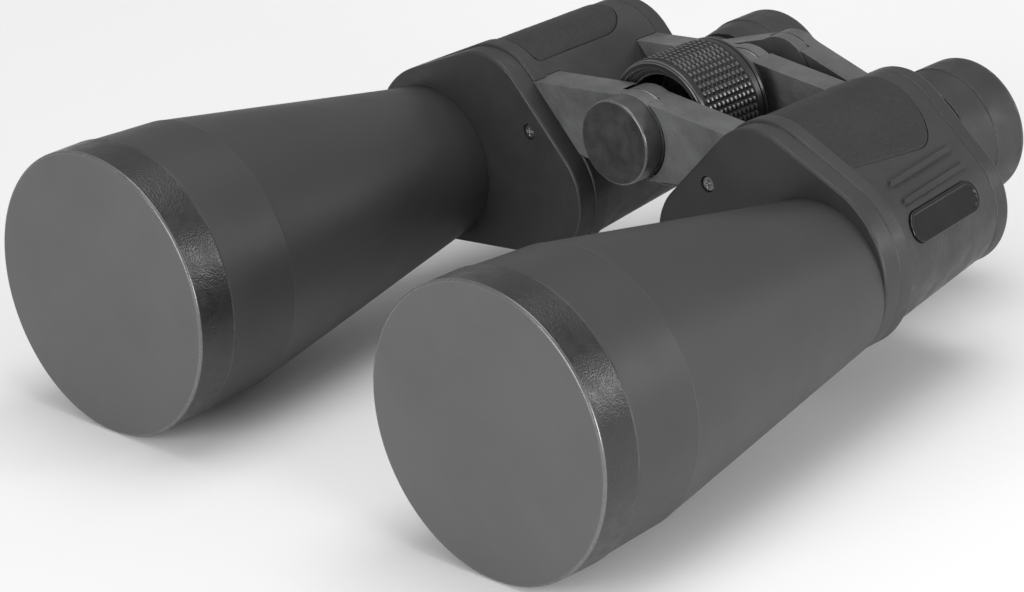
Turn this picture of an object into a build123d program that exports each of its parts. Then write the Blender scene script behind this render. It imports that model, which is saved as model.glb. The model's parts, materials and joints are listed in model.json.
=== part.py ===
"""Centre-focus Porro prism binoculars with push-on objective caps.

Frame: X runs across (the user's left half is at +X), Y runs from the objectives
to the eyepieces and Z is up. The origin is at the middle of the underside.
A station is a distance from the front of the caps, towards the eyepieces.
"""

import os
from math import acos, atan2, copysign, cos, degrees, hypot, radians, sqrt

from build123d import *

# Overall layout, in millimetres
LENGTH = 222.0
FRONT = -LENGTH / 2
REARWARD = (0, 1, 0)
CAP_RADIUS = 38.0
OBJECTIVE = (68.8, CAP_RADIUS)  # (x, z) of the left objective's optical axis
EYEPIECE = (33.9, CAP_RADIUS + 2.6)  # (x, z) of the left eyepiece's optical axis
HINGE = (0.0, CAP_RADIUS + 20.8)  # (x, z) of the central hinge and focus axis
FIT = 0.05  # radial clearance of a running fit

# Stations of the main faces
CAP_REAR = 11.4
CONE_START = 33.8
COVER_FRONT = 118.8
HOUSING_FRONT = 124.5
HOUSING_REAR = 172.7
COVER_REAR = 178.5
EYECUP_FRONT = 200.8

# The housing's section is the hull of three round lobes, each (x, z, radius)
FRONT_LOBES = ((31.2, 37.3, 17.4), (48.6, 55.7, 17.4), (65.9, 40.6, 24.4))
REAR_LOBES = ((34.2, 40.2, 17.0), (48.1, 55.8, 17.0), (64.1, 41.0, 17.9))
ARMOUR = 1.6  # thickness of the rubber
WALL = 2.0  # thickness of the casting under it
PAD_DEPTH = 0.8
BADGE_SIZE = (32.0, 8.4)

# Objective barrel and its lens
BARREL_RADIUS = 37.6
CONE_END_RADIUS = 21.0
SPIGOT_RADIUS = 19.0
LENS_RADIUS = 31.0

# Prisms
PRISM_HALF_WIDTH = 9.7
SHELF_FRONT = 145.5
SHELF_REAR = 148.5
PRISM_DEPTH = 19.6
CLIP_THICKNESS = 0.6

# Hinge and focusing
KNUCKLE_RADIUS = 11.5
PIN_RADIUS = 6.0
FRONT_ARMS = (124.5, 134.5)
REAR_ARMS = (164.7, 172.7)
WASHER = 0.6
WHEEL_FRONT = 135.5
WHEEL_REAR = 159.5
WHEEL_RADIUS = 17.5
SPINDLE_RADIUS = 4.2
BRIDGE = (183.5, 191.5)
BRIDGE_HUB_RADIUS = 10.4
BRIDGE_ROOT_RADIUS = 6.6
BRIDGE_ROOT_LIFT = 3.4
BRIDGE_RING_RADIUS = 17.2
OCULAR_SEAT_RADIUS = 14.0
OCULAR_TUBE_RADIUS = 12.95
CELL_RADIUS = 14.6


# ---- helpers ----
def across(station):
    """Plane across the binoculars at a station: its x is X and its y is Z."""
    return Plane(origin=(0, station + FRONT, 0), x_dir=(1, 0, 0), z_dir=(0, -1, 0))


def disc(radius, start, end, centre, mode=Mode.ADD):
    """Round bar about a fore-and-aft line, from one station to another."""
    with BuildSketch(across(start)) as section:
        with Locations(centre):
            Circle(radius)
    extrude(section.sketch, amount=end - start, dir=REARWARD, mode=mode)


def turn(corners, centre, mode=Mode.ADD):
    """Revolve a closed outline of (radius, station) corners about a fore-and-aft line."""
    with BuildSketch(Plane(origin=(centre[0], FRONT, centre[1]))) as section:
        with BuildLine():
            Polyline(*corners, close=True)
        make_face()
    revolve(section.sketch, axis=Axis((centre[0], 0, centre[1]), REARWARD), mode=mode)


def lens_surface(rim, vertex, curve):
    """Half-section of a lens surface; a positive curve bulges to the front."""
    if curve is None:
        return Line((0, vertex), (rim, vertex))
    middle, edge = (
        (r, vertex + curve - copysign(sqrt(curve**2 - r**2), curve)) for r in (rim / 2, rim)
    )
    return ThreePointArc((0, vertex), middle, edge)


def lens(rim, front, rear, centre):
    """Lens about a fore-and-aft line; front and rear are (vertex station, curve)."""
    with BuildSketch(Plane(origin=(centre[0], FRONT, centre[1]))) as section:
        with BuildLine():
            front_face = lens_surface(rim, *front)
            rear_face = lens_surface(rim, *rear)
            Line(front_face @ 0, rear_face @ 0)
            Line(front_face @ 1, rear_face @ 1)
        make_face()
    revolve(section.sketch, axis=Axis((centre[0], 0, centre[1]), REARWARD))


def lobes_at(station):
    """The three lobes of the left housing's outside at a station."""
    part_way = (station - COVER_FRONT) / (HOUSING_REAR - COVER_FRONT)
    part_way = min(max(part_way, 0), 1)
    return [
        tuple(a + (b - a) * part_way for a, b in zip(front, rear))
        for front, rear in zip(FRONT_LOBES, REAR_LOBES)
    ]


def outline(station, inset=0.0):
    """Section of the left housing at a station, shrunk by an inset."""
    with BuildSketch(across(station)) as section:
        with BuildLine():
            for x, z, radius in lobes_at(station):
                CenterArc((x, z), radius - inset, 0, 360)
        make_hull()
    return section.sketch


def tapered(start, end, inset, mode=Mode.ADD):
    """Solid between the housing's sections at two stations."""
    loft([outline(start, inset), outline(end, inset)], ruled=True, mode=mode)


def save(name, piece):
    """Label a finished piece and write it to its own file."""
    piece.part.label = name
    export_step(piece.part, f"parts/{name}.step")


def save_pair(name, piece):
    """Write a left-hand piece and its mirror image, the right-hand one."""
    save(f"{name}_left", piece)
    with BuildPart() as twin:
        mirror(piece.part, about=Plane.YZ)
    save(f"{name}_right", twin)


def hull_point(angle, station):
    """Point on the housing in a direction from its outer lobe's centre, and the normal there.

    The angle is in degrees up from +X. Beyond the lobe the housing runs flat to the top lobe.
    """
    _, (top_x, top_z, top_radius), (x, z, radius) = lobes_at(station)
    rise, run = top_z - z, top_x - x
    flat_angle = degrees(atan2(rise, run) - acos((radius - top_radius) / hypot(rise, run)))
    facing = min(angle, flat_angle)
    ray = Vector(1, 0, 0).rotate(Axis.Y, -angle)
    normal = Vector(1, 0, 0).rotate(Axis.Y, -facing)
    reach = radius / cos(radians(angle - facing))
    return Vector(x, station + FRONT, z) + ray * reach, normal


os.makedirs("parts", exist_ok=True)

# ---- objective caps: push on over the rebated front of the barrels ----
CAP_WALL = 1.9
CAP_FACE = 2.2
with BuildPart() as objective_cap:
    disc(CAP_RADIUS, 0, CAP_REAR, OBJECTIVE)
    chamfer(objective_cap.edges().group_by(Axis.Y)[0], length=0.9, length2=0.7)
    disc(CAP_RADIUS - CAP_WALL, CAP_FACE, CAP_REAR, OBJECTIVE, mode=Mode.SUBTRACT)
save_pair("objective_cap", objective_cap)

# ---- objective barrels: a short cylinder, a long cone and a spigot into the housing ----
RIM_RADIUS = CAP_RADIUS - CAP_WALL - 3 * FIT
RIM_FRONT = 2.5
RIM_REAR = 9.0
with BuildPart() as objective_barrel:
    turn(
        [
            (33.0, RIM_FRONT),
            (RIM_RADIUS, RIM_FRONT),
            (RIM_RADIUS, RIM_REAR),
            (RIM_RADIUS - 0.5, RIM_REAR + 0.4),
            (RIM_RADIUS - 0.5, 11.7),
            (BARREL_RADIUS, 11.7),
            (BARREL_RADIUS, 12.6),
            (36.45, CONE_START - 0.4),
            (36.1, CONE_START),
            (36.35, CONE_START + 0.4),
            (CONE_END_RADIUS, COVER_FRONT),
            (SPIGOT_RADIUS, COVER_FRONT),
            (SPIGOT_RADIUS, HOUSING_FRONT),
            (17.0, HOUSING_FRONT),
            (17.0, 121.0),
            (19.0, 117.0),
            (34.0, 36.0),
            (34.0, 29.5),
            (29.8, 27.0),
            (29.8, 24.0),
            (LENS_RADIUS, 24.0),
            (LENS_RADIUS, 14.6),
            (33.0, 14.6),
        ],
        OBJECTIVE,
    )
save_pair("objective_barrel", objective_barrel)

# ---- objective lens: a cemented pair held by a slotted ring ----
CEMENTED_FACE = (20.8, -100.0)
with BuildPart() as objective_crown:
    lens(LENS_RADIUS, (10.5, 120.0), CEMENTED_FACE, OBJECTIVE)
save_pair("objective_crown", objective_crown)

with BuildPart() as objective_flint:
    lens(LENS_RADIUS, CEMENTED_FACE, (24.0, None), OBJECTIVE)
save_pair("objective_flint", objective_flint)

with BuildPart() as objective_ring:
    disc(33.0 - FIT, 9.8, 14.2, OBJECTIVE)
    disc(30.0, 9.8, 14.2, OBJECTIVE, mode=Mode.SUBTRACT)
    with BuildSketch(across(9.8)):
        with Locations(OBJECTIVE):
            Rectangle(70, 2.4)
    extrude(amount=1.5, dir=REARWARD, mode=Mode.SUBTRACT)
save_pair("objective_ring", objective_ring)

# ---- front covers: close the prism housings and carry the barrels ----
FRONT_SCREW = (31.6, 54.6)
FRONT_BOSS_RADIUS = 2.3
SCREW_HEAD_RADIUS = 1.9
SCREW_SHANK_RADIUS = 1.0
with BuildPart() as front_cover:
    extrude(outline(COVER_FRONT), amount=HOUSING_FRONT - COVER_FRONT, dir=REARWARD)
    fillet(front_cover.edges().group_by(Axis.Y)[0], radius=0.8)
    disc(SPIGOT_RADIUS, COVER_FRONT, HOUSING_FRONT, OBJECTIVE, mode=Mode.SUBTRACT)
    disc(SCREW_HEAD_RADIUS + 0.3, COVER_FRONT, 120.4, FRONT_SCREW, mode=Mode.SUBTRACT)
    disc(SCREW_SHANK_RADIUS + FIT, COVER_FRONT, HOUSING_FRONT, FRONT_SCREW, mode=Mode.SUBTRACT)
save_pair("front_cover", front_cover)


def screw(seat, end, centre, facing=1):
    """Small cross-head screw: facing 1 has its head to the front of its seat, -1 behind it."""
    head = seat - facing * 1.1
    disc(SCREW_HEAD_RADIUS, min(head, seat), max(head, seat), centre)
    disc(SCREW_SHANK_RADIUS, min(seat, end), max(seat, end), centre)
    with BuildSketch(across(head)) as cross:
        with Locations(centre):
            Rectangle(2.4, 0.55)
            Rectangle(0.55, 2.4)
    extrude(cross.sketch, amount=0.7 * facing, dir=REARWARD, mode=Mode.SUBTRACT)


with BuildPart() as front_cover_screw:
    screw(120.4, 128.0, FRONT_SCREW)
save_pair("front_cover_screw", front_cover_screw)

# ---- rear covers: close the housings and carry the eyepiece sleeves ----
REAR_SCREWS = ((40.2, 64.0), (57.0, 27.6))
REAR_BOSS_RADIUS = 2.6
REAR_SCREW_SEAT = 177.3
SLEEVE_RADIUS = 14.2
SLEEVE_FRONT = 170.6
SLEEVE_REAR = 179.0
with BuildPart() as rear_cover:
    extrude(outline(HOUSING_REAR), amount=COVER_REAR - HOUSING_REAR, dir=REARWARD)
    fillet(rear_cover.edges().group_by(Axis.Y)[-1], radius=2.0)
    chamfer(rear_cover.edges().group_by(Axis.Y)[0], length=0.4)
    extrude(outline(HOUSING_REAR, ARMOUR + WALL), amount=3.0, dir=REARWARD, mode=Mode.SUBTRACT)
    for position in REAR_SCREWS:
        disc(REAR_BOSS_RADIUS, HOUSING_REAR, 176.0, position)
    for position in REAR_SCREWS:
        disc(SCREW_HEAD_RADIUS + 0.3, REAR_SCREW_SEAT, COVER_REAR, position, mode=Mode.SUBTRACT)
        disc(SCREW_SHANK_RADIUS + FIT, HOUSING_REAR, COVER_REAR, position, mode=Mode.SUBTRACT)
    disc(SLEEVE_RADIUS, HOUSING_REAR, COVER_REAR, EYEPIECE, mode=Mode.SUBTRACT)
save_pair("rear_cover", rear_cover)

with BuildPart() as rear_cover_screws:
    for position in REAR_SCREWS:
        screw(REAR_SCREW_SEAT, 166.0, position, facing=-1)
save_pair("rear_cover_screws", rear_cover_screws)

with BuildPart() as ocular_sleeve:
    disc(SLEEVE_RADIUS, SLEEVE_FRONT, SLEEVE_REAR, EYEPIECE)
    disc(OCULAR_TUBE_RADIUS + FIT, SLEEVE_FRONT, SLEEVE_REAR, EYEPIECE, mode=Mode.SUBTRACT)
save_pair("ocular_sleeve", ocular_sleeve)

# ---- prism housings: cast shells with two hinge arms each ----
BEAM = ((4.6, 69.3), (40.4, 65.9), (24.2, 50.2), (5.0, 47.6))


def beam_outline(station, grow=0.0):
    """Section of an arm between the housing and the hinge."""
    with BuildSketch(across(station)) as section:
        with BuildLine():
            Polyline(*BEAM, close=True)
        make_face()
        if grow:
            offset(amount=grow, kind=Kind.INTERSECTION)
    return section.sketch


def arm(span, knuckle):
    """Hinge arm: a full-depth beam and one knuckle of the half-lapped hinge."""
    start, end = span
    extrude(beam_outline(start), amount=end - start, dir=REARWARD)
    twin_span = (start, knuckle[0]) if knuckle[0] > start else (knuckle[1], end)
    disc(KNUCKLE_RADIUS + 0.7, *twin_span, HINGE, mode=Mode.SUBTRACT)
    disc(KNUCKLE_RADIUS, *knuckle, HINGE)


def knuckles(span):
    """Stations of the front and rear knuckles of an arm pair, with a washer between."""
    middle = sum(span) / 2
    half_gap = WASHER / 2 + 0.1
    return (span[0], middle - half_gap), (middle + half_gap, span[1])


def housing(front_knuckle, rear_knuckle, pin_bore):
    """Left-hand housing with its arms ending in the given knuckles."""
    tapered(HOUSING_FRONT, HOUSING_REAR, ARMOUR)
    arm(FRONT_ARMS, front_knuckle)
    arm(REAR_ARMS, rear_knuckle)
    tapered(HOUSING_FRONT, HOUSING_REAR, ARMOUR + WALL, mode=Mode.SUBTRACT)
    disc(FRONT_BOSS_RADIUS, HOUSING_FRONT, 129.0, FRONT_SCREW)
    for position in REAR_SCREWS:
        disc(REAR_BOSS_RADIUS, 164.0, HOUSING_REAR, position)
        disc(SCREW_SHANK_RADIUS, 166.0, HOUSING_REAR, position, mode=Mode.SUBTRACT)
    disc(SCREW_SHANK_RADIUS, HOUSING_FRONT, 128.0, FRONT_SCREW, mode=Mode.SUBTRACT)
    disc(OCULAR_TUBE_RADIUS + 0.35, 160.0, HOUSING_REAR, EYEPIECE, mode=Mode.SUBTRACT)
    disc(SLEEVE_RADIUS, SLEEVE_FRONT, HOUSING_REAR, EYEPIECE, mode=Mode.SUBTRACT)
    disc(pin_bore, *FRONT_ARMS, HINGE, mode=Mode.SUBTRACT)
    disc(pin_bore, *REAR_ARMS, HINGE, mode=Mode.SUBTRACT)


FRONT_KNUCKLES = knuckles(FRONT_ARMS)
REAR_KNUCKLES = knuckles(REAR_ARMS)
with BuildPart() as housing_left:
    housing(FRONT_KNUCKLES[1], REAR_KNUCKLES[0], PIN_RADIUS + FIT)
save("housing_left", housing_left)

with BuildPart(mode=Mode.PRIVATE) as unmirrored:
    housing(FRONT_KNUCKLES[0], REAR_KNUCKLES[1], PIN_RADIUS)
with BuildPart() as housing_right:
    mirror(unmirrored.part, about=Plane.YZ)
save("housing_right", housing_right)

# ---- rubber armour, with its front lip, ribs, and seats for the pad and the badge ----
PAD_INNER = 38.0
PAD_OUTER = 70.0
PAD_FRONT = 129.5
PAD_REAR = 167.5
RIB_SPAN = (135.5, 167.5)
RIB_ANGLES = ((56.9, 67.9), (42.3, 50.7))  # at the front and rear end of each rib
BADGE_ANGLES = (24.4, 27.1)
BADGE_SPAN = (134.0, 166.0)


def pad_outline(shrink=0.0):
    """Tongue-shaped plan of the grip pad, square in front and round behind."""
    width = PAD_OUTER - PAD_INNER - 2 * shrink
    length = PAD_REAR - PAD_FRONT - 2 * shrink
    middle = ((PAD_INNER + PAD_OUTER) / 2, (PAD_FRONT + PAD_REAR) / 2 + FRONT)
    with BuildSketch(Plane.XY.offset(HINGE[1] - 10)) as section:
        with Locations(middle):
            Rectangle(width, length)
        fillet(section.vertices().group_by(Axis.Y)[-1], radius=11.0)
        fillet(section.vertices().group_by(Axis.Y)[0], radius=2.0)
    return section.sketch


def grip_pad_body(shrink, depth):
    """Pad that follows the top of the housing, sunk by a depth."""
    with BuildPart(mode=Mode.PRIVATE) as skin:
        tapered(PAD_FRONT - 5, HOUSING_REAR, -0.35)
        tapered(PAD_FRONT - 5, HOUSING_REAR, depth, mode=Mode.SUBTRACT)
        extrude(pad_outline(shrink), amount=60, mode=Mode.INTERSECT)
    return skin.part


def surface_plane(angles, span, height):
    """Plane lying on the housing's outer side: x runs rearwards along it, z points outwards."""
    front, front_normal = hull_point(angles[0], span[0])
    rear, rear_normal = hull_point(angles[1], span[1])
    along = (rear - front).normalized()
    side = (front_normal + rear_normal).cross(along).normalized()
    outward = along.cross(side)
    return Plane(origin=(front + rear) / 2 + outward * height, x_dir=along, z_dir=outward)


def badge_body(grow, bottom, top):
    """Oval plate lying on the housing's outer side, between two heights."""
    with BuildSketch(surface_plane(BADGE_ANGLES, BADGE_SPAN, bottom)) as section:
        SlotOverall(BADGE_SIZE[0] + 2 * grow, BADGE_SIZE[1] + 2 * grow)
    return extrude(section.sketch, amount=top - bottom, mode=Mode.PRIVATE)


with BuildPart() as armour:
    tapered(HOUSING_FRONT, HOUSING_REAR, 0)
    extrude(outline(HOUSING_FRONT, -0.7), amount=4.5, dir=REARWARD)
    fillet(armour.edges().group_by(Axis.Y)[0], radius=0.6)
    for rib_angles in RIB_ANGLES:
        with BuildSketch(surface_plane(rib_angles, RIB_SPAN, -0.8)):
            SlotOverall(RIB_SPAN[1] - RIB_SPAN[0], 2.6)
        extrude(amount=1.7, taper=18)
    tapered(HOUSING_FRONT, HOUSING_REAR, ARMOUR, mode=Mode.SUBTRACT)
    for start, end in (FRONT_ARMS, REAR_ARMS):
        cut = beam_outline(start - 0.2, grow=0.2)
        extrude(cut, amount=end - start + 0.4, dir=REARWARD, mode=Mode.SUBTRACT)
    add(grip_pad_body(0, PAD_DEPTH), mode=Mode.SUBTRACT)
    add(badge_body(0.15, -1.0, 4.0), mode=Mode.SUBTRACT)
save_pair("armour", armour)

with BuildPart() as grip_pad:
    add(grip_pad_body(0.15, PAD_DEPTH))
save_pair("grip_pad", grip_pad)

with BuildPart() as badge:
    add(badge_body(0, -1.0, 0.5))
    add(badge_body(-1.0, 0.1, 1.0), mode=Mode.SUBTRACT)
save_pair("badge", badge)

# ---- prisms on their shelf ----
MIDWAY = ((OBJECTIVE[0] + EYEPIECE[0]) / 2, (OBJECTIVE[1] + EYEPIECE[1]) / 2)
HALF_OFFSET = ((OBJECTIVE[0] - EYEPIECE[0]) / 2, (OBJECTIVE[1] - EYEPIECE[1]) / 2)
# The light passes from one prism to the other on the corner of a square over that offset
CROSSING = (MIDWAY[0] - HALF_OFFSET[1], MIDWAY[1] + HALF_OFFSET[0])
AXIS_GAP = hypot(OBJECTIVE[0] - CROSSING[0], OBJECTIVE[1] - CROSSING[1])

with BuildPart() as prism_shelf:
    extrude(outline(SHELF_REAR, ARMOUR + WALL + 0.3), amount=SHELF_REAR - SHELF_FRONT, dir=(0, -1, 0))
    for aperture in (OBJECTIVE, CROSSING, EYEPIECE):
        disc(PRISM_HALF_WIDTH - 0.5, SHELF_FRONT, SHELF_REAR, aperture, mode=Mode.SUBTRACT)
save_pair("prism_shelf", prism_shelf)


def prism_plane(first, second, station):
    """Plane of a prism's side view, with x along the line between its two axes."""
    step = (second[0] - first[0], second[1] - first[1])
    middle = ((first[0] + second[0]) / 2, station + FRONT, (first[1] + second[1]) / 2)
    return Plane(origin=middle, x_dir=(step[0], 0, step[1]), z_dir=(step[1], 0, -step[0]))


def prism(first, second, station, side):
    """Right-angle prism with rounded ends; side 1 points its roof to the rear, -1 to the front."""
    half_base = AXIS_GAP / 2 + PRISM_HALF_WIDTH
    half_top = half_base - PRISM_DEPTH
    profile_plane = prism_plane(first, second, station)
    rise = side * copysign(1, profile_plane.y_dir.Y)
    with BuildSketch(profile_plane) as side_view:
        with BuildLine():
            Polyline(
                (-half_base, 0),
                (half_base, 0),
                (half_top, rise * PRISM_DEPTH),
                (-half_top, rise * PRISM_DEPTH),
                close=True,
            )
        make_face()
    extrude(side_view.sketch, amount=PRISM_HALF_WIDTH, both=True)
    turned_by = degrees(atan2(second[1] - first[1], second[0] - first[0]))
    with BuildSketch(across(station)) as base:
        with Locations(((first[0] + second[0]) / 2, (first[1] + second[1]) / 2)):
            SlotCenterToCenter(AXIS_GAP, 2 * PRISM_HALF_WIDTH, rotation=turned_by)
    extrude(base.sketch, amount=PRISM_DEPTH, dir=(0, side, 0), mode=Mode.INTERSECT)


with BuildPart() as prism_rear:
    prism(OBJECTIVE, CROSSING, SHELF_REAR, 1)
save_pair("prism_rear", prism_rear)

with BuildPart() as prism_front:
    prism(EYEPIECE, CROSSING, SHELF_FRONT, -1)
save_pair("prism_front", prism_front)


def prism_clip(first, second, station, side):
    """Spring strap over a prism's roof, with its feet on the shelf."""
    inside = PRISM_HALF_WIDTH + FIT
    top = PRISM_DEPTH + FIT
    edge_on = prism_plane(first, second, station)
    rise = side * copysign(1, edge_on.y_dir.Y)
    face_on = Plane(origin=edge_on.origin, x_dir=edge_on.z_dir, z_dir=-edge_on.x_dir)
    with BuildSketch(face_on) as strap:
        with Locations((0, rise * (top + CLIP_THICKNESS) / 2)):
            Rectangle(2 * (inside + CLIP_THICKNESS), top + CLIP_THICKNESS)
        with Locations((0, rise * top / 2)):
            Rectangle(2 * inside, top, mode=Mode.SUBTRACT)
    extrude(strap.sketch, amount=2.5, both=True)


with BuildPart() as prism_clips:
    prism_clip(OBJECTIVE, CROSSING, SHELF_REAR, 1)
    prism_clip(EYEPIECE, CROSSING, SHELF_FRONT, -1)
save_pair("prism_clips", prism_clips)

# ---- central hinge ----
COLLAR_RADIUS = 9.0
COLLAR_FRONT = 119.9
BUSH_RADIUS = 4.6
BUSH_REAR = 132.5
TRIPOD_CORE_RADIUS = 2.6  # core of a quarter-inch 20 thread
with BuildPart() as front_hinge_pin:
    disc(COLLAR_RADIUS, COLLAR_FRONT, HOUSING_FRONT, HINGE)
    disc(PIN_RADIUS, HOUSING_FRONT, FRONT_ARMS[1], HINGE)
    disc(BUSH_RADIUS, COLLAR_FRONT, BUSH_REAR, HINGE, mode=Mode.SUBTRACT)
save("front_hinge_pin", front_hinge_pin)

with BuildPart() as tripod_bush:
    disc(BUSH_RADIUS, COLLAR_FRONT, BUSH_REAR, HINGE)
    disc(TRIPOD_CORE_RADIUS, COLLAR_FRONT, BUSH_REAR - 0.8, HINGE, mode=Mode.SUBTRACT)
save("tripod_bush", tripod_bush)

with BuildPart() as hinge_cap:
    disc(KNUCKLE_RADIUS, 118.2, HOUSING_FRONT - 0.2, HINGE)
    fillet(hinge_cap.edges().group_by(Axis.Y)[0], radius=0.5)
    disc(COLLAR_RADIUS + 2 * FIT, COLLAR_FRONT - 0.2, HOUSING_FRONT, HINGE, mode=Mode.SUBTRACT)
save("hinge_cap", hinge_cap)

with BuildPart() as rear_hinge_tube:
    disc(PIN_RADIUS, 158.6, 176.0, HINGE)
    disc(SPINDLE_RADIUS + FIT, 158.6, 176.0, HINGE, mode=Mode.SUBTRACT)
save("rear_hinge_tube", rear_hinge_tube)

with BuildPart() as hinge_nut:
    disc(9.5, REAR_ARMS[1], 175.6, HINGE)
    chamfer(hinge_nut.edges().group_by(Axis.Y)[-1], length=0.5)
    disc(PIN_RADIUS, REAR_ARMS[1], 175.6, HINGE, mode=Mode.SUBTRACT)
save("hinge_nut", hinge_nut)

with BuildPart() as hinge_washers:
    for span in (FRONT_ARMS, REAR_ARMS):
        centre_station = sum(span) / 2
        disc(KNUCKLE_RADIUS - 0.3, centre_station - WASHER / 2, centre_station + WASHER / 2, HINGE)
        disc(PIN_RADIUS + FIT, *span, HINGE, mode=Mode.SUBTRACT)
save("hinge_washers", hinge_washers)

# ---- focusing: wheel, spindle and the bridge that carries both eyepieces ----
GRIP_SEAT_RADIUS = 15.6
GRIP_SPAN = (136.9, 158.1)
with BuildPart() as focus_wheel:
    turn(
        [
            (SPINDLE_RADIUS + FIT, 138.5),
            (8.0, 138.5),
            (8.0, 150.0),
            (12.8, 150.0),
            (12.8, 137.7),
            (15.0, 137.7),
            (15.0, WHEEL_FRONT),
            (16.6, WHEEL_FRONT),
            (17.1, WHEEL_FRONT + 0.5),
            (17.1, GRIP_SPAN[0]),
            (GRIP_SEAT_RADIUS, GRIP_SPAN[0]),
            (GRIP_SEAT_RADIUS, GRIP_SPAN[1]),
            (17.1, GRIP_SPAN[1]),
            (17.1, WHEEL_REAR - 0.5),
            (16.6, WHEEL_REAR),
            (13.0, WHEEL_REAR),
            (13.0, 164.2),
            (PIN_RADIUS + FIT, 164.2),
            (PIN_RADIUS + FIT, 158.4),
            (SPINDLE_RADIUS + FIT, 158.4),
        ],
        HINGE,
    )
save("focus_wheel", focus_wheel)

with BuildPart() as focus_wheel_grip:
    disc(WHEEL_RADIUS, *GRIP_SPAN, HINGE)
    chamfer(focus_wheel_grip.edges().filter_by(GeomType.CIRCLE), length=0.8)
    disc(GRIP_SEAT_RADIUS, *GRIP_SPAN, HINGE, mode=Mode.SUBTRACT)
save("focus_wheel_grip", focus_wheel_grip)

with BuildPart() as focus_spindle:
    disc(SPINDLE_RADIUS, 139.5, BRIDGE[1] + 3.0, HINGE)
save("focus_spindle", focus_spindle)

with BuildPart() as bridge_nut:
    disc(7.5, BRIDGE[1] + 0.3, BRIDGE[1] + 4.2, HINGE)
    fillet(bridge_nut.edges().group_by(Axis.Y)[-1], radius=1.0)
    disc(SPINDLE_RADIUS, BRIDGE[1], BRIDGE[1] + 3.0, HINGE, mode=Mode.SUBTRACT)
save("bridge_nut", bridge_nut)

SPREAD = Vector(EYEPIECE[0] - HINGE[0], EYEPIECE[1] - HINGE[1]).normalized()
# The arm's root circle sits above the hub, so the arm is high at the root and clears its twin
ROOT_CENTRE = (
    HINGE[0] - BRIDGE_ROOT_LIFT * SPREAD.Y,
    HINGE[1] + BRIDGE_ROOT_LIFT * SPREAD.X,
)
HUB_SPLIT = sum(BRIDGE) / 2


def bridge_arm(hub_span, clear_span, hub_bore):
    """Left-hand bridge arm: an eyepiece ring, a web and one half of the lapped hub."""
    with BuildSketch(across(BRIDGE[0])) as section:
        with BuildLine():
            CenterArc(ROOT_CENTRE, BRIDGE_ROOT_RADIUS, 0, 360)
            CenterArc(EYEPIECE, BRIDGE_RING_RADIUS, 0, 360)
        make_hull()
    extrude(section.sketch, amount=BRIDGE[1] - BRIDGE[0], dir=REARWARD)
    disc(BRIDGE_HUB_RADIUS + 0.5, *clear_span, HINGE, mode=Mode.SUBTRACT)
    disc(BRIDGE_HUB_RADIUS, *hub_span, HINGE)
    disc(hub_bore, *BRIDGE, HINGE, mode=Mode.SUBTRACT)
    disc(OCULAR_SEAT_RADIUS, *BRIDGE, EYEPIECE, mode=Mode.SUBTRACT)


FRONT_HUB = (BRIDGE[0], HUB_SPLIT - 0.2)
REAR_HUB = (HUB_SPLIT + 0.2, BRIDGE[1])
with BuildPart() as bridge_arm_left:
    bridge_arm(REAR_HUB, (BRIDGE[0], HUB_SPLIT), SPINDLE_RADIUS + FIT)
save("bridge_arm_left", bridge_arm_left)

with BuildPart(mode=Mode.PRIVATE) as unmirrored:
    bridge_arm(FRONT_HUB, (HUB_SPLIT, BRIDGE[1]), SPINDLE_RADIUS)
with BuildPart() as bridge_arm_right:
    mirror(unmirrored.part, about=Plane.YZ)
save("bridge_arm_right", bridge_arm_right)

# ---- eyepieces; the right one has the dioptre ring and a cell that it moves ----
RIGHT_EYEPIECE = (-EYEPIECE[0], EYEPIECE[1])
TUBE_BORE = 11.1
EYE_STOP = 8.6
EYE_LENS_SEAT = 9.6
TUBE_FRONT = 166.5
FLANGE_FRONT = 191.6
CELL_REAR = 214.0
EYE_END = [
    (CELL_RADIUS, EYECUP_FRONT - 0.2),
    (CELL_RADIUS, CELL_REAR),
    (EYE_LENS_SEAT, CELL_REAR),
    (EYE_LENS_SEAT, 208.2),
    (EYE_STOP, 208.2),
]
TUBE_END = [
    (TUBE_BORE, TUBE_FRONT),
    (OCULAR_TUBE_RADIUS, TUBE_FRONT),
    (OCULAR_TUBE_RADIUS, BRIDGE[0]),
    (OCULAR_SEAT_RADIUS, BRIDGE[0]),
    (OCULAR_SEAT_RADIUS, FLANGE_FRONT),
]
with BuildPart() as ocular_barrel_left:
    neck = [(16.8, FLANGE_FRONT), (17.3, EYECUP_FRONT - 0.2)]
    turn(TUBE_END + neck + EYE_END + [(EYE_STOP, 205.6), (TUBE_BORE, 201.0)], EYEPIECE)
save("ocular_barrel_left", ocular_barrel_left)

THREAD_RADIUS = 13.4
with BuildPart() as ocular_barrel_right:
    spigot = [(THREAD_RADIUS, FLANGE_FRONT), (THREAD_RADIUS, 203.0), (TUBE_BORE, 203.0)]
    turn(TUBE_END + spigot, RIGHT_EYEPIECE)
save("ocular_barrel_right", ocular_barrel_right)

with BuildPart() as eyepiece_cell_right:
    sleeve = [(THREAD_RADIUS + FIT, 194.0), (CELL_RADIUS, 194.0)]
    step = [(EYE_STOP, 205.6), (THREAD_RADIUS + FIT, 205.6)]
    turn(sleeve + EYE_END[1:] + step, RIGHT_EYEPIECE)
save("eyepiece_cell_right", eyepiece_cell_right)

DIOPTRE_SPAN = (192.0, 198.2)
with BuildPart() as dioptre_ring:
    disc(17.4, *DIOPTRE_SPAN, RIGHT_EYEPIECE)
    chamfer(dioptre_ring.edges().filter_by(GeomType.CIRCLE), length=0.5)
    disc(CELL_RADIUS + FIT, *DIOPTRE_SPAN, RIGHT_EYEPIECE, mode=Mode.SUBTRACT)
save("dioptre_ring", dioptre_ring)

with BuildPart() as field_lens:
    lens(TUBE_BORE, (172.0, None), (177.0, -26.0), EYEPIECE)
save_pair("field_lens", field_lens)

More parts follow.
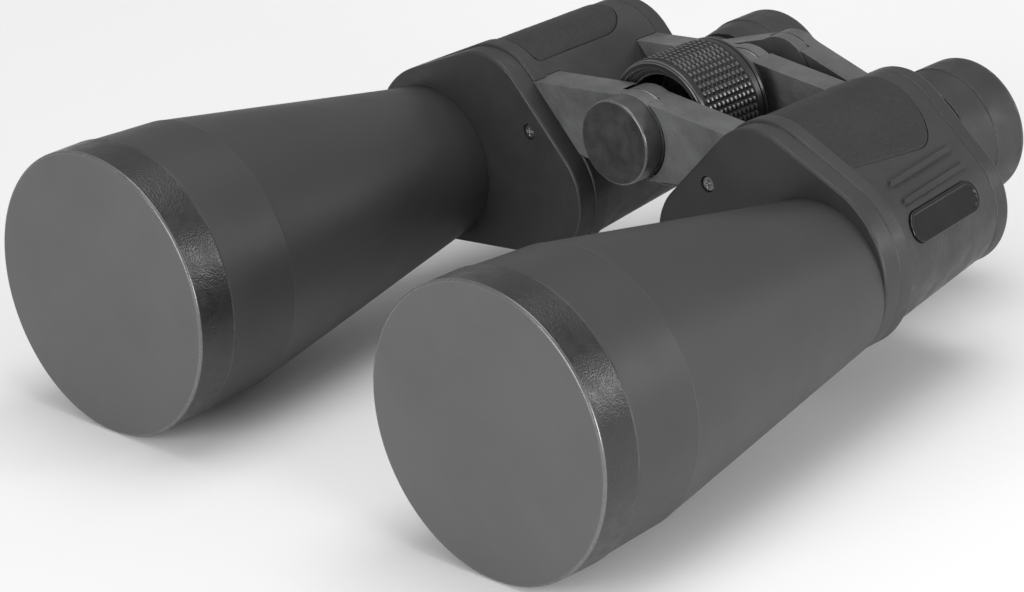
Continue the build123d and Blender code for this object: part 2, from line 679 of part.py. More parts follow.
with BuildPart() as eye_lens:
    lens(EYE_LENS_SEAT, (206.5, 22.0), (213.0, -30.0), EYEPIECE)
save_pair("eye_lens", eye_lens)

EYECUP_RADIUS = 18.9
LIP = 2.3
with BuildPart() as eyecup:
    with BuildSketch(Plane(origin=(EYEPIECE[0], FRONT, EYEPIECE[1]))):
        with BuildLine():
            flare = Spline(
                [(17.4, EYECUP_FRONT), (EYECUP_RADIUS, 209.5)], tangents=[(0.2, 1), (0, 1)]
            )
            side = Line(flare @ 1, (EYECUP_RADIUS, LENGTH - LIP))
            lip = JernArc(side @ 1, (0, 1), LIP, 90)
            Polyline(
                lip @ 1,
                (13.9, LENGTH),
                (13.4, LENGTH - 0.5),
                (12.8, CELL_REAR),
                (CELL_RADIUS, CELL_REAR),
                (CELL_RADIUS, EYECUP_FRONT),
                flare @ 0,
            )
        make_face()
    revolve(axis=Axis((EYEPIECE[0], 0, EYEPIECE[1]), REARWARD))
save_pair("eyecup", eyecup)
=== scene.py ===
"""Looks of the binoculars: satin plastics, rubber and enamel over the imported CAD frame."""
import json
import math

import bmesh
import bpy
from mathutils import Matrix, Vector, noise

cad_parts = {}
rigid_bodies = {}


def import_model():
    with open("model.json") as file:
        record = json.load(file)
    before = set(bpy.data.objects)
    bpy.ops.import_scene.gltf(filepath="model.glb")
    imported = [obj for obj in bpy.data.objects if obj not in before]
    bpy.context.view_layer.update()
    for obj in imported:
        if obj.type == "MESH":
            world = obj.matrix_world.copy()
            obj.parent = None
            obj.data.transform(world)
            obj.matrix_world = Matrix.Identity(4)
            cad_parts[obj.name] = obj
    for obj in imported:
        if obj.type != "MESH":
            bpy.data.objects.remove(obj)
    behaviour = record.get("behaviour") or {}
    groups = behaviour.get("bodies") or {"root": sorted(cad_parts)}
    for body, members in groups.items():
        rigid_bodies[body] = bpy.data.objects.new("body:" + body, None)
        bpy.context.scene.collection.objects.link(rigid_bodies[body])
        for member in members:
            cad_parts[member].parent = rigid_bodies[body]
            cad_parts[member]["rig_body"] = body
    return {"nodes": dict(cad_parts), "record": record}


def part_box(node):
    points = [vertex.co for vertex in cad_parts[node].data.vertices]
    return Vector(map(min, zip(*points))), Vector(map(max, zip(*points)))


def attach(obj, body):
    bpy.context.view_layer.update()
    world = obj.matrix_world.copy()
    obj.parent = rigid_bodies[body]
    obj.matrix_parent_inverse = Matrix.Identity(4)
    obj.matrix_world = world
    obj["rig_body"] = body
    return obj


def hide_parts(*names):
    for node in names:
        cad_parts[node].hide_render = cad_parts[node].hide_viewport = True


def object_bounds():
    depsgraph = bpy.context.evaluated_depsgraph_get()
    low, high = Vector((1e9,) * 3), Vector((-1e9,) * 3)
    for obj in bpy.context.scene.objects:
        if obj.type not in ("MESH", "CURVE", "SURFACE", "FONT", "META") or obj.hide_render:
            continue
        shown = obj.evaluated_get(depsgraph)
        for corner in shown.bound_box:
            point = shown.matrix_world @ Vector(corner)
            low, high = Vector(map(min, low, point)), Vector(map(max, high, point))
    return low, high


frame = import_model()
NODES = frame["nodes"]
SLOT_OF = {row["node"]: row["material_slot"] for row in frame["record"]["subparts"]}
CAD_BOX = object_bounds()
FRONT = CAD_BOX[0].y  # the plane of the caps' faces; stations are counted from it
MM = 0.001
SIDES = ("left", "right")

# ---- the stage ----
# The camera looks at a point just above the left cap's rim, in the plane of the caps' faces
AIM = Vector((0.0800, FRONT, 0.0758))
AZIMUTH = math.radians(45.6)
ELEVATION = math.radians(22.57)
ROLL = math.radians(-3.14)
DISTANCE = 0.990
LENS = 153.2
SENSOR = 36
FLOOR_HALF = 4.0
FLOOR_DROP = 0.0002  # leaves a hair's breadth between the floor and the caps
SURROUND_STRENGTH = 0.45
LIT_POINT = Vector((0, 0, 0.04))
# Each softbox: position, side, power
SOFTBOXES = {
    "front": ((0.15, -1.6, 0.5), 0.9, 15),
    "side": ((1.7, -0.3, 0.2), 0.6, 20),
    "rear": ((1.25, 1.15, 0.65), 0.5, 6),
    "top": ((0.1, 0.3, 1.9), 1.3, 14),
}


def add_camera():
    """Camera that looks at AIM from AZIMUTH and ELEVATION, rolled a little."""
    back = Vector((
        math.sin(AZIMUTH) * math.cos(ELEVATION),
        -math.cos(AZIMUTH) * math.cos(ELEVATION),
        math.sin(ELEVATION),
    ))
    data = bpy.data.cameras.new("camera")
    data.lens = LENS
    data.sensor_width = SENSOR
    data.clip_start = 0.05
    data.clip_end = 50
    camera = bpy.data.objects.new("camera", data)
    camera.location = AIM + DISTANCE * back
    level = (-back).to_track_quat("-Z", "Y").to_matrix()
    right, up = level.col[0], level.col[1]
    turned_right = math.cos(ROLL) * right + math.sin(ROLL) * up
    turned_up = math.cos(ROLL) * up - math.sin(ROLL) * right
    for row in range(3):
        level[row] = (turned_right[row], turned_up[row], back[row])
    camera.rotation_euler = level.to_euler()
    bpy.context.scene.collection.objects.link(camera)
    bpy.context.scene.camera = camera


def add_softbox(name, position, side, power):
    """Square area light that faces the object."""
    data = bpy.data.lights.new(name, "AREA")
    data.shape = "SQUARE"
    data.size = side
    data.energy = power
    light = bpy.data.objects.new(name, data)
    light.location = position
    light.rotation_euler = (LIT_POINT - Vector(position)).to_track_quat("-Z", "Y").to_euler()
    bpy.context.scene.collection.objects.link(light)


def add_floor():
    """Pale paper floor."""
    mesh = bpy.data.meshes.new("floor")
    half = FLOOR_HALF
    corners = [(-half, -half, 0), (half, -half, 0), (half, half, 0), (-half, half, 0)]
    mesh.from_pydata(corners, [], [(0, 1, 2, 3)])
    floor = bpy.data.objects.new("floor", mesh)
    floor.location.z = -FLOOR_DROP
    bpy.context.scene.collection.objects.link(floor)
    paper = Shades("floor_paper")
    paper.base(grey(0.94), grey(0.96), paper.noise(6.0))
    paper.rough(0.9, 0.95, paper.noise(300.0))
    mesh.materials.append(paper.material)


def add_stage():
    """Floor, pale surroundings and softboxes."""
    world = bpy.data.worlds.new("studio")
    world.use_nodes = True
    background = world.node_tree.nodes["Background"]
    background.inputs["Color"].default_value = (1, 1, 1, 1)
    background.inputs["Strength"].default_value = SURROUND_STRENGTH
    bpy.context.scene.world = world
    bpy.context.scene.view_settings.view_transform = "Standard"
    add_floor()
    for name, (position, side, power) in SOFTBOXES.items():
        add_softbox(name, position, side, power)


# ---- materials ----
class Shades:
    """One material's node tree, built with short calls."""

    def __init__(self, name):
        self.material = bpy.data.materials.new(name)
        self.material.use_nodes = True
        self.tree = self.material.node_tree
        self.shader = self.tree.nodes["Principled BSDF"]
        self.place = self.node("ShaderNodeTexCoord").outputs["Object"]
        self.normal = None

    def node(self, kind, links=(), **settings):
        """New node with its settings made and its inputs linked or filled."""
        made = self.tree.nodes.new(kind)
        for key, value in settings.items():
            setattr(made, key, value)
        for key, value in dict(links).items():
            if isinstance(value, bpy.types.NodeSocket):
                self.tree.links.new(value, made.inputs[key])
            else:
                made.inputs[key].default_value = value
        return made

    def stretched(self, scale):
        """Object coordinates scaled by an amount along each axis."""
        return self.node("ShaderNodeMapping", {"Vector": self.place, "Scale": scale}).outputs[0]

    def noise(self, scale, detail=3.0, distortion=0.0, place=None):
        """Soft random pattern, 0 to 1; scale counts its features per metre."""
        links = {
            "Vector": place or self.place,
            "Scale": scale,
            "Detail": detail,
            "Roughness": 0.55,
            "Distortion": distortion,
        }
        return self.node("ShaderNodeTexNoise", links).outputs["Fac"]

    def cells(self, scale, feature="F1", place=None):
        """Distance within a random cell pattern; scale counts its cells per metre."""
        links = {"Vector": place or self.place, "Scale": scale}
        return self.node("ShaderNodeTexVoronoi", links, feature=feature).outputs["Distance"]

    def ramp(self, value, low, high):
        """Value stretched so that low gives 0 and high gives 1, and clamped."""
        links = {"Value": value, "From Min": low, "From Max": high}
        return self.node("ShaderNodeMapRange", links).outputs["Result"]

    def times(self, a, b):
        """Product of two values."""
        return self.node("ShaderNodeMath", {0: a, 1: b}, operation="MULTIPLY").outputs[0]

    def base(self, first, second=None, factor=None):
        """Base colour: one colour, or two mixed by a factor."""
        self.shader.inputs["Base Color"].default_value = (*first, 1)
        if factor is not None:
            self.tint(factor, second)

    def tint(self, factor, colour):
        """Mix a further colour over what the base has so far."""
        base = self.shader.inputs["Base Color"]
        mix = self.node("ShaderNodeMix", data_type="RGBA")
        below, above = (s for s in mix.inputs if s.type == "RGBA")
        if base.links:
            self.tree.links.new(base.links[0].from_socket, below)
        else:
            below.default_value = base.default_value
        above.default_value = (*colour, 1)
        self.tree.links.new(factor, mix.inputs[0])
        out = next(s for s in mix.outputs if s.type == "RGBA")
        self.tree.links.new(out, base)

    def rough(self, low, high, factor):
        """Roughness that runs from low to high with a factor."""
        links = {"Value": factor, "To Min": low, "To Max": high}
        out = self.node("ShaderNodeMapRange", links).outputs["Result"]
        self.tree.links.new(out, self.shader.inputs["Roughness"])

    def bump(self, height, depth, strength):
        """Relief of a depth in metres, added over what came before."""
        links = {"Height": height, "Distance": depth, "Strength": strength}
        if self.normal:
            links["Normal"] = self.normal
        self.normal = self.node("ShaderNodeBump", links).outputs["Normal"]
        self.tree.links.new(self.normal, self.shader.inputs["Normal"])


# How many times paler an edge and a speck of dust are than the surface; the edge's paleness is
# partly from handling and partly a painted highlight
RUBBED_AND_SHEEN_PALER = 2.6
DUST_PALER = 2.2


def grey(level, warmth=0.0):
    """Neutral colour, a little warmer or cooler."""
    return (level * (1 + warmth), level, level * (1 - warmth))


def satin(name, dark, light, cloud, roughness, grain, gloss=0.5, tint=0.0, relief=0.4, wear_and_sheen=0.0):
    """Moulded or painted surface: cloudy colour and roughness, a fine grain, paler patches for edges
    that are partly from handling and partly a painted highlight.

    cloud and grain[0] count features per metre; grain[1] is the grain's depth in metres.
    """
    m = Shades(name)
    clouds = m.ramp(m.noise(cloud, 5.0, distortion=0.3), 0.3, 0.72)
    m.base(grey(dark, tint), grey(light, tint), clouds)
    if wear_and_sheen:
        # Paler patches: partly from handling, partly a painted highlight on the edges that take this
        # finish
        rubbed_and_sheen = m.ramp(m.noise(cloud * 9, 3.0), 0.38, 0.66)
        m.tint(m.times(rubbed_and_sheen, wear_and_sheen), grey(light * RUBBED_AND_SHEEN_PALER, tint))
    specks = m.times(m.ramp(m.cells(420.0), 0.10, 0.03), m.ramp(m.noise(70.0, 3.0), 0.5, 0.62))
    m.tint(m.times(specks, 0.3), grey(light * DUST_PALER, tint))
    m.rough(*roughness, m.ramp(m.noise(cloud * 3, 5.0), 0.3, 0.7))
    m.shader.inputs["Specular IOR Level"].default_value = gloss
    m.bump(m.cells(grain[0]), grain[1], relief)
    m.bump(m.noise(grain[0] * 0.22, 3.0), grain[1] * 2.5, relief * 0.7)
    return m.material


def leather_rubber():
    """Rubber moulded with a leather grain: creases around soft uneven cells."""
    m = Shades("grip_rubber")
    place = m.node("ShaderNodeVectorMath", {0: m.place}, operation="ADD")
    wander = m.node("ShaderNodeVectorMath", {0: (0.004, 0.003, 0.004)}, operation="SCALE")
    m.tree.links.new(m.noise(160.0, 2.0), wander.inputs["Scale"])
    m.tree.links.new(wander.outputs[0], place.inputs[1])
    crease = m.ramp(m.cells(520.0, "DISTANCE_TO_EDGE", place=place.outputs[0]), 0.0, 0.16)
    # The creases are painted a little darker than the cells: painted shade in them
    m.base(grey(0.018), grey(0.024), crease)
    m.tint(m.times(m.ramp(m.noise(70.0, 4.0), 0.5, 0.8), 0.4), grey(0.032))
    m.shader.inputs["Specular IOR Level"].default_value = 0.35
    m.rough(0.46, 0.64, m.noise(90.0, 4.0))
    m.bump(crease, 0.00008, 0.4)
    m.bump(m.cells(3400.0), 0.00003, 0.4)
    return m.material


def coated_glass(name, tint):
    """Clear glass with a faint coloured coating and a little dust."""
    m = Shades(name)
    m.base(tint)
    m.rough(0.015, 0.07, m.ramp(m.noise(300.0, 6.0), 0.55, 0.8))
    m.shader.inputs["Transmission Weight"].default_value = 1.0
    m.shader.inputs["IOR"].default_value = 1.52
    m.shader.inputs["Coat Weight"].default_value = 0.5
    m.shader.inputs["Coat Tint"].default_value = (0.78, 0.72, 0.92, 1)
    m.shader.inputs["Coat IOR"].default_value = 1.7
    return m.material


def turned_metal(name, dark, light, roughness, colour=(1.0, 1.0, 1.0)):
    """Metal turned on a lathe: streaks that run around its fore-and-aft axis."""
    m = Shades(name)
    streak = m.noise(900.0, 3.0, place=m.stretched((0.12, 1.0, 0.12)))
    m.base(tuple(dark * c for c in colour), tuple(light * c for c in colour), streak)
    m.rough(*roughness, m.noise(500.0, 3.0, place=m.stretched((0.15, 1.0, 0.15))))
    m.bump(streak, 0.00001, 0.5)
    m.shader.inputs["Metallic"].default_value = 1.0
    return m.material


# Each moulded or painted finish: dark, light, cloud, roughness, grain, gloss, tint, relief
SATINS = {
    "armour_rubber": (0.023, 0.034, 48.0, (0.36, 0.60), (1500.0, 0.00006), 0.45, 0.0, 0.8),
    "cap_plastic": (0.076, 0.090, 24.0, (0.46, 0.60), (3000.0, 0.00003), 0.4),
    "barrel_paint": (0.033, 0.041, 15.0, (0.42, 0.53), (1700.0, 0.00002), 0.4),
    "badge_plate": (0.005, 0.008, 60.0, (0.08, 0.18), (2200.0, 0.000005), 0.5),
    "casting_paint": (0.080, 0.135, 110.0, (0.38, 0.58), (900.0, 0.00010), 0.5, -0.012, 0.9),
    "bridge_metal": (0.065, 0.100, 110.0, (0.36, 0.56), (1000.0, 0.00008), 0.5, -0.008, 0.9),
    "cover_plastic": (0.023, 0.031, 40.0, (0.38, 0.56), (1800.0, 0.00004), 0.45, 0.0, 0.6),
    "black_aluminium": (0.012, 0.018, 40.0, (0.30, 0.45), (1800.0, 0.00002), 0.5),
    "eyecup_rubber": (0.027, 0.042, 65.0, (0.38, 0.62), (2800.0, 0.00003), 0.35),
    "bearing_plastic": (0.42, 0.50, 50.0, (0.40, 0.55), (2600.0, 0.00002), 0.5, 0.05),
    "dioptre_plastic": (0.024, 0.032, 40.0, (0.40, 0.55), (2600.0, 0.00002), 0.5),
    "wheel_core": (0.016, 0.022, 45.0, (0.24, 0.36), (2000.0, 0.00002), 0.6),
    "wheel_rubber": (0.009, 0.014, 60.0, (0.34, 0.46), (2600.0, 0.00002), 0.6),
    "hinge_cap_paint": (0.026, 0.052, 150.0, (0.26, 0.46), (1400.0, 0.00004), 0.6, 0.0, 0.6),
}
# Each turned metal: dark, light, roughness, and its colour where it isn't grey
METALS = {
    "spring_steel": (0.38, 0.50, (0.28, 0.40)),
    "screw_steel": (0.35, 0.55, (0.20, 0.34)),
    "shaft_steel": (0.30, 0.42, (0.25, 0.38)),
    "nut_steel": (0.05, 0.09, (0.30, 0.42)),
    "bush_brass": (0.50, 0.62, (0.28, 0.40), (1.0, 0.75, 0.36)),
}
FINISHES = {slot: satin(slot, *numbers) for slot, numbers in SATINS.items()}
FINISHES |= {slot: turned_metal(slot, *numbers) for slot, numbers in METALS.items()}
FINISHES["grip_rubber"] = leather_rubber()
FINISHES["lens_glass"] = coated_glass("lens_glass", (0.86, 0.90, 0.95))
FINISHES["prism_glass"] = coated_glass("prism_glass", (0.90, 0.95, 0.93))
# Edges are paler than the surface beside them: partly from handling, partly a painted highlight
# along each edge
WORN_AND_SHEEN_EDGES = {slot: satin(f"{slot}_edge", *numbers, wear_and_sheen=0.65) for slot, numbers in SATINS.items()}
# The cap's band, painted far darker than the cap's face: painted shade on its outward faces, besides
# its own grain and gloss
CAP_BAND_PAINTED_SHADE = satin("cap_band_painted_shade", 0.009, 0.015, 90.0, (0.25, 0.43), (1900.0, 0.00006), 0.6, relief=0.8)
# Paler glossy finish for the knurl's stud tops: a painted highlight on each stud
PAINTED_STUD_SHEEN = satin("stud_top_painted_sheen", 0.045, 0.080, 300.0, (0.20, 0.30), (2600.0, 0.00002), 1.0)
# Glossy rim finish; on the hinge cap's and the wheel's fillets it is much paler than their own
# finish, a painted highlight
GLOSSY_EDGE_PAINTED_SHEEN = satin("cap_rim", 0.060, 0.085, 60.0, (0.20, 0.30), (2400.0, 0.00001), 1.0, wear_and_sheen=0.12)


# ---- mesh making ----
SEAM_GAP = 0.002 * MM  # vertices closer than this are one
FLAT_WITHIN = math.radians(0.4)  # faces that turn less than this are one flat face
CORNER = math.radians(30)  # edges that turn more than this are rounded over
CREASE = math.radians(32)  # edges of a turned piece that turn more than this are shaded sharp
TURNS = 192  # facets around a turned piece
BARREL_TURNS = 256  # around the barrels and their caps
FILLET_HOLD = 0.05  # from a fillet to the ring that keeps the flat beside it flat, in millimetres
FILLET_SHARE = 0.49  # of the shorter side beside it, the most that a fillet takes up


def add_finishes(mesh, *materials):
    """Give a mesh its materials, in the order that its faces count them."""
    for material in materials:
        mesh.materials.append(material)


def link_piece(name, mesh, node):
    """Make a mesh a piece that stands for a CAD node and rides on its body."""
    piece = bpy.data.objects.new(name, mesh)
    bpy.context.scene.collection.objects.link(piece)
    slot = SLOT_OF[node]
    if not mesh.materials:
        # The second finish, on rounded corners and fillets, is paler: partly from handling, partly a
        # painted highlight
        add_finishes(mesh, FINISHES[slot], WORN_AND_SHEEN_EDGES.get(slot, FINISHES[slot]))
    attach(piece, NODES[node]["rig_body"])
    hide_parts(node)
    return piece


def apply_modifiers(piece):
    """Bake a piece's modifiers into its mesh."""
    bpy.context.view_layer.update()
    evaluated = piece.evaluated_get(bpy.context.evaluated_depsgraph_get())
    mesh = bpy.data.meshes.new_from_object(evaluated)
    piece.modifiers.clear()
    piece.data = mesh


def joined_copy(node):
    """Copy of a CAD node's mesh with its seams joined and its flat faces made whole."""
    mesh = NODES[node].data.copy()
    work = bmesh.new()
    work.from_mesh(mesh)
    bmesh.ops.remove_doubles(work, verts=work.verts, dist=SEAM_GAP)
    bmesh.ops.dissolve_limit(work, angle_limit=FLAT_WITHIN, verts=work.verts, edges=work.edges)
    work.to_mesh(mesh)
    work.free()
    if "custom_normal" in mesh.attributes:
        mesh.attributes.remove(mesh.attributes["custom_normal"])
    mesh.materials.clear()
    mesh.shade_smooth()
    return mesh


def rounded_copy(node, width):
    """Copy of a CAD node with its corners rounded over by a width in millimetres."""
    piece = link_piece(f"{node}_rounded", joined_copy(node), node)
    bevel = piece.modifiers.new("rounding", "BEVEL")
    bevel.width = width * MM
    bevel.segments = 3
    bevel.limit_method = "ANGLE"
    bevel.angle_limit = CORNER
    bevel.harden_normals = True
    bevel.miter_outer = "MITER_ARC"
    # The rounded corners take the paler edge finish, partly a painted highlight
    bevel.material = 1
    apply_modifiers(piece)


def centre_of(node):
    """(x, z) of a round node's fore-and-aft axis."""
    low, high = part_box(node)
    return (low.x + high.x) / 2, (low.z + high.z) / 2


def rounded(corners, steps):
    """Outline from (radius, station, rounding) corners, and which of its steps are fillets."""
    points, edges = [], set()
    for index, (r, s, *rounding) in enumerate(corners):
        here = Vector((r, s))
        if not rounding:
            points.append(here)
            continue
        before = Vector(corners[index - 1][:2]) - here
        after = Vector(corners[(index + 1) % len(corners)][:2]) - here
        half_turn = before.angle(after) / 2
        longest = FILLET_SHARE * min(before.length, after.length)
        reach = min(rounding[0] / math.tan(half_turn), longest)
        radius = reach * math.tan(half_turn)
        inward = (before.normalized() + after.normalized()).normalized()
        middle = here + inward * radius / math.sin(half_turn)
        first = (here + before.normalized() * reach - middle).normalized()
        last = (here + after.normalized() * reach - middle).normalized()
        arc = [middle + first.slerp(last, step / steps) * radius for step in range(steps + 1)]
        if before.length - reach > 3 * FILLET_HOLD:
            points.append(arc[0] + before.normalized() * FILLET_HOLD)
        edges.update(range(len(points), len(points) + steps))
        points += arc
        if after.length - reach > 3 * FILLET_HOLD:
            points.append(arc[-1] + after.normalized() * FILLET_HOLD)
    return points, edges


def lathe(corners, centre, turns=TURNS, steps=4, relief=None):
    """Mesh turned about a fore-and-aft line from a closed outline in millimetres.

    relief(radius, station, share of a turn) gives what to take off the radius there.
    """
    outline, edges = rounded(corners, steps)
    work = bmesh.new()
    rings = []
    for r, s in outline:
        ring = []
        for turn in range(turns if r > 0 else 1):
            share = turn / turns
            reach = (r - relief(r, s, share) if relief else r) * MM
            angle = share * math.tau
            x = centre[0] + reach * math.cos(angle)
            z = centre[1] + reach * math.sin(angle)
            ring.append(work.verts.new((x, FRONT + s * MM, z)))
        rings.append(ring)
    for index, (first, second) in enumerate(zip(rings, rings[1:] + rings[:1])):
        if len(first) == len(second) == 1:
            continue
        for turn in range(turns):
            after = (turn + 1) % turns
            face = [first[turn % len(first)], first[after % len(first)],
                    second[after % len(second)], second[turn % len(second)]]
            work.faces.new(list(dict.fromkeys(face))).material_index = int(index in edges)
    bmesh.ops.recalc_face_normals(work, faces=work.faces)
    mesh = bpy.data.meshes.new("turned")
    work.to_mesh(mesh)
    work.free()
    mesh.shade_smooth()
    mesh.set_sharp_from_angle(angle=CREASE)
    return mesh


# ---- turned pieces, as (radius, station, rounding) corners in millimetres ----
CAP = [
    (0, 0), (8, 0), (16, 0), (24, 0), (32, 0), (36, 0), (38.0, 0, 0.7),
    (38.0, 2), (38.0, 4), (38.0, 6), (38.0, 8), (38.0, 10), (38.0, 11.4, 0.2),
    (36.1, 11.4, 0.3), (36.1, 2.2, 0.8), (24, 2.2), (12, 2.2), (0, 2.2),
]
BARREL = [
    (33.0, 2.5, 0.2), (35.95, 2.5, 0.4), (35.95, 9.0), (35.45, 9.4), (35.45, 11.7),
    (37.6, 11.7, 0.35), (37.6, 12.6, 0.6), (37.0, 23.0), (36.45, 33.5, 0.4), (36.3, 34.0, 0.4),
    (31.3, 62.0), (26.2, 90.0), (21.0, 118.8, 0.2), (19.0, 118.8), (19.0, 124.5),
    (17.0, 124.5), (17.0, 121.0, 1.0), (19.0, 117.0, 2.0), (34.0, 36.0, 1.0), (34.0, 29.5, 0.5),
    (29.8, 27.0, 0.5), (29.8, 24.0), (31.0, 24.0), (31.0, 14.6), (33.0, 14.6, 0.1),
]
HINGE_CAP = [
    (0, 118.2), (4, 118.2), (8, 118.2), (11.5, 118.2, 0.5), (11.5, 124.3, 0.2),
    (9.1, 124.3, 0.1), (9.1, 119.7, 0.3), (0, 119.7),
]
WHEEL = [
    (4.25, 138.5, 0.2), (8.0, 138.5, 0.5), (8.0, 150.0, 0.3), (12.8, 150.0, 0.3), (12.8, 137.9, 0.4),
    (14.2, 137.9, 0.2), (14.2, 136.9, 0.2), (15.1, 136.9, 0.15), (15.1, 135.5, 0.25),
    (16.6, 135.5, 0.35), (17.1, 136.0, 0.35), (17.1, 136.9), (15.6, 136.9), (15.6, 158.1),
    (17.1, 158.1), (17.1, 159.0, 0.35), (16.6, 159.5, 0.35), (13.0, 159.5, 0.4),
    (13.0, 164.2, 0.5), (6.05, 164.2, 0.3), (6.05, 158.4), (4.25, 158.4),
]
TUBE = [(11.1, 166.5, 0.2), (12.95, 166.5, 0.3), (12.95, 183.5), (14.0, 183.5), (14.0, 191.6)]
NECK = [
    (16.8, 191.6, 0.25), (17.0, 195.2, 0.15), (16.7, 195.45, 0.1), (16.7, 195.95, 0.1),
    (17.05, 196.2, 0.15), (17.3, 200.6, 0.3),
]
EYE_END = [
    (14.6, 200.6), (14.6, 214.0, 0.3), (10.6, 214.0, 0.5), (9.6, 213.0, 0.4),
    (9.6, 208.2), (8.6, 208.2, 0.1),
]
LEFT_OCULAR = TUBE + NECK + EYE_END + [(8.6, 205.6, 0.2), (11.1, 201.0, 0.5)]
RIGHT_OCULAR = TUBE + [(13.4, 191.6), (13.4, 203.0, 0.2), (11.1, 203.0, 0.2)]
RIGHT_CELL = [(13.45, 194.0), (14.6, 194.0, 0.2)] + EYE_END[1:] + [(8.6, 205.6, 0.2), (13.45, 205.6)]
DIOPTRE = [(14.65, 192.0, 0.2), (17.4, 192.0, 0.5), (17.4, 198.2, 0.5), (14.65, 198.2, 0.2)]
EYECUP = [
    (17.4, 200.8, 0.3), (18.5, 209.2, 0.3), (18.55, 209.7, 0.1), (18.9, 210.1, 0.3),
    (18.9, 212), (18.9, 215), (18.9, 218), (18.9, 222.0, 2.3), (13.9, 222.0, 1.2),
    (13.1, 218.5, 2.0), (12.8, 214.0), (14.6, 214.0), (14.6, 200.8, 0.2),
]
KNURL_FRONT, KNURL_REAR = 137.7, 155.4
KNURL_COLUMNS, KNURL_ROWS = 11, 52
KNURL_RADIUS = 17.5
KNURL_DEPTH = 0.7
STUD_RADIUS = 17.3  # the studs' tops, painted paler as a painted highlight, lie outside this
FLANK_SLOPE = 3.2
SERRATION_FRONT, SERRATION_REAR = 192.95, 197.25
SERRATIONS = 72
SERRATION_DEPTH = 0.28
SERRATION_RADIUS = 17.4
SLACK = 0.05  # allowed when a point's place is compared with a limit, in millimetres
ROUND_FACE = 0.1  # a face whose normal has less than this fore and aft looks outwards or inwards


def stud(share):
    """Height of a stud's flank across one cell of the knurl: 0 in the groove, 1 on top."""
    return min(1.0, FLANK_SLOPE * min(share % 1, 1 - share % 1))


def knurl(r, s, share):
    """Grooves cut both ways into the wheel's grip."""
    if r < KNURL_RADIUS - SLACK or not KNURL_FRONT - SLACK < s < KNURL_REAR + SLACK:
        return 0.0
    column = (s - KNURL_FRONT) / (KNURL_REAR - KNURL_FRONT) * KNURL_COLUMNS
    return KNURL_DEPTH * (1 - min(stud(column), stud(share * KNURL_ROWS)))


def knurled_outline():
    """Grip's outline, with four stations to each column of studs."""
    cells = 4 * KNURL_COLUMNS
    pitch = (KNURL_REAR - KNURL_FRONT) / cells
    face = [(KNURL_RADIUS, KNURL_FRONT + pitch * step) for step in range(cells + 1)]
    return (
        [(15.6, 136.9), (16.75, 136.9, 0.2), (17.25, 137.4, 0.2)] + face
        + [(17.1, 155.9, 0.2), (17.1, 157.7, 0.2), (16.75, 158.1, 0.2), (15.6, 158.1)]
    )


def serration(r, s, share):
    """Fine ribs around the dioptre ring."""
    if r < SERRATION_RADIUS - SLACK or not SERRATION_FRONT - SLACK < s < SERRATION_REAR + SLACK:
        return 0.0
    return SERRATION_DEPTH * (1 - stud(share * SERRATIONS))


def add_cap(side):
    """Objective cap: a glossy rim between a satin face and a grained band."""
    cap = lathe(CAP, centre_of(f"objective_cap_{side}"), BARREL_TURNS)
    add_finishes(cap, FINISHES["cap_plastic"], GLOSSY_EDGE_PAINTED_SHEEN, CAP_BAND_PAINTED_SHADE)
    # Faces that look outwards take the band's finish, painted darker as painted shade
    for face in cap.polygons:
        if face.material_index == 0 and abs(face.normal.y) < ROUND_FACE:
            face.material_index = 2
    link_piece(f"cap_{side}", cap, f"objective_cap_{side}")


def add_ends(side):
    """One half's cap and barrel in front, and its eyecup behind."""
    add_cap(side)
    barrel = lathe(BARREL, centre_of(f"objective_barrel_{side}"), BARREL_TURNS)
    link_piece(f"barrel_{side}", barrel, f"objective_barrel_{side}")
    eyecup = lathe(EYECUP, centre_of(f"eyecup_{side}"), steps=7)
    link_piece(f"cup_{side}", eyecup, f"eyecup_{side}")


def add_wheel():
    """Hinge cap, focusing wheel and its knurled grip."""
    hinge = centre_of("hinge_cap")
    for node, outline in (("hinge_cap", HINGE_CAP), ("focus_wheel", WHEEL)):
        mesh = lathe(outline, hinge)
        # Their fillets take the glossy rim finish, paler than the pieces: a painted highlight
        add_finishes(mesh, FINISHES[SLOT_OF[node]], GLOSSY_EDGE_PAINTED_SHEEN)
        link_piece(f"{node}_turned", mesh, node)
    grip = lathe(knurled_outline(), hinge, 4 * KNURL_ROWS, relief=knurl)
    # Faces on the studs' tops take the paler finish: a painted highlight
    for face in grip.polygons:
        reach = math.hypot(face.center.x - hinge[0], face.center.z - hinge[1])
        face.material_index = int(reach > STUD_RADIUS * MM)
    add_finishes(grip, FINISHES["wheel_rubber"], PAINTED_STUD_SHEEN)
    link_piece("wheel_grip", grip, "focus_wheel_grip")


def add_eyepieces():
    """Eyepiece barrels, the right one's cell and its dioptre ring."""
    left, right = centre_of("ocular_barrel_left"), centre_of("ocular_barrel_right")
    link_piece("ocular_left", lathe(LEFT_OCULAR, left), "ocular_barrel_left")
    link_piece("ocular_right", lathe(RIGHT_OCULAR, right), "ocular_barrel_right")
    link_piece("cell_right", lathe(RIGHT_CELL, right), "eyepiece_cell_right")
    ribs = [(SERRATION_RADIUS, SERRATION_FRONT), (SERRATION_RADIUS, SERRATION_REAR)]
    ring = lathe(DIOPTRE[:2] + ribs + DIOPTRE[2:], right, 4 * SERRATIONS, relief=serration)
    link_piece("dioptre_ribbed", ring, "dioptre_ring")


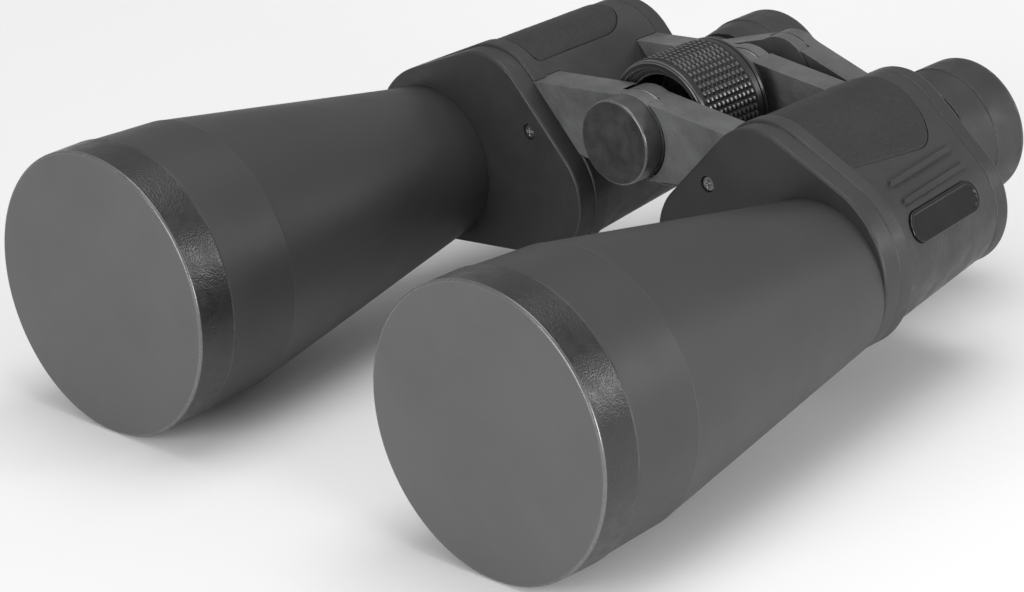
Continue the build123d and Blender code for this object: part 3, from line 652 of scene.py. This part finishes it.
# ---- moulded and cast pieces ----
# Width of each kind's rounded corners, in millimetres
ROUNDINGS = {
    "armour": 0.35,
    "front_cover": 0.25,
    "rear_cover": 0.25,
    "housing": 0.55,
    "bridge_arm": 0.7,
    "badge": 0.22,
    "front_cover_screw": 0.15,
    "rear_cover_screws": 0.15,
}
NUT_ROUNDING = 0.2
PAD_VOXEL = 0.36 * MM
PAD_RELIEF = 0.05 * MM
NOISE_SEED = 1  # without one, noise_vector takes its offsets from the clock
PAD_CELLS = 430  # per metre, as are the two below
PAD_WANDERS = 150
PAD_SWELLS = 190
PAD_STRAY = 0.5  # how far the cells wander, as a share of a cell
PAD_CREASE = 0.22  # width of a crease, as a share of a cell
PAD_OUTER = 0.2  # the pad's outer face has normals that rise more than this


def add_grip_pad(node):
    """Grip pad with a leather grain pressed into its outer face."""
    piece = link_piece(f"{node}_grained", joined_copy(node), node)
    remesh = piece.modifiers.new("even mesh", "REMESH")
    remesh.mode = "VOXEL"
    remesh.voxel_size = PAD_VOXEL
    relax = piece.modifiers.new("relax", "SMOOTH")
    relax.factor = 0.5
    relax.iterations = 3
    apply_modifiers(piece)
    mesh = piece.data
    normals = [vertex.normal.copy() for vertex in mesh.vertices]
    for vertex, normal in zip(mesh.vertices, normals):
        if normal.z < PAD_OUTER:
            continue
        wander = noise.noise_vector(vertex.co * PAD_WANDERS) * PAD_STRAY
        distances, _ = noise.voronoi(vertex.co * PAD_CELLS + wander)
        crease = max(0.0, 1 - (distances[1] - distances[0]) / PAD_CREASE)
        swell = noise.noise(vertex.co * PAD_SWELLS)
        vertex.co += normal * PAD_RELIEF * (swell - crease)
    mesh.shade_smooth()


def add_moulded():
    """Every piece that keeps the CAD's shape, with its corners rounded over."""
    for side in SIDES:
        for kind, width in ROUNDINGS.items():
            rounded_copy(f"{kind}_{side}", width)
        add_grip_pad(f"grip_pad_{side}")
    for nut in ("bridge_nut", "hinge_nut"):
        rounded_copy(nut, NUT_ROUNDING)


def paint_nodes():
    """Give every CAD node that still shows the finish of its material slot."""
    for node, slot in SLOT_OF.items():
        mesh = NODES[node].data
        mesh.materials.clear()
        mesh.materials.append(FINISHES[slot])


noise.seed_set(NOISE_SEED)
add_camera()
add_stage()
paint_nodes()
for half in SIDES:
    add_ends(half)
add_wheel()
add_eyepieces()
add_moulded()
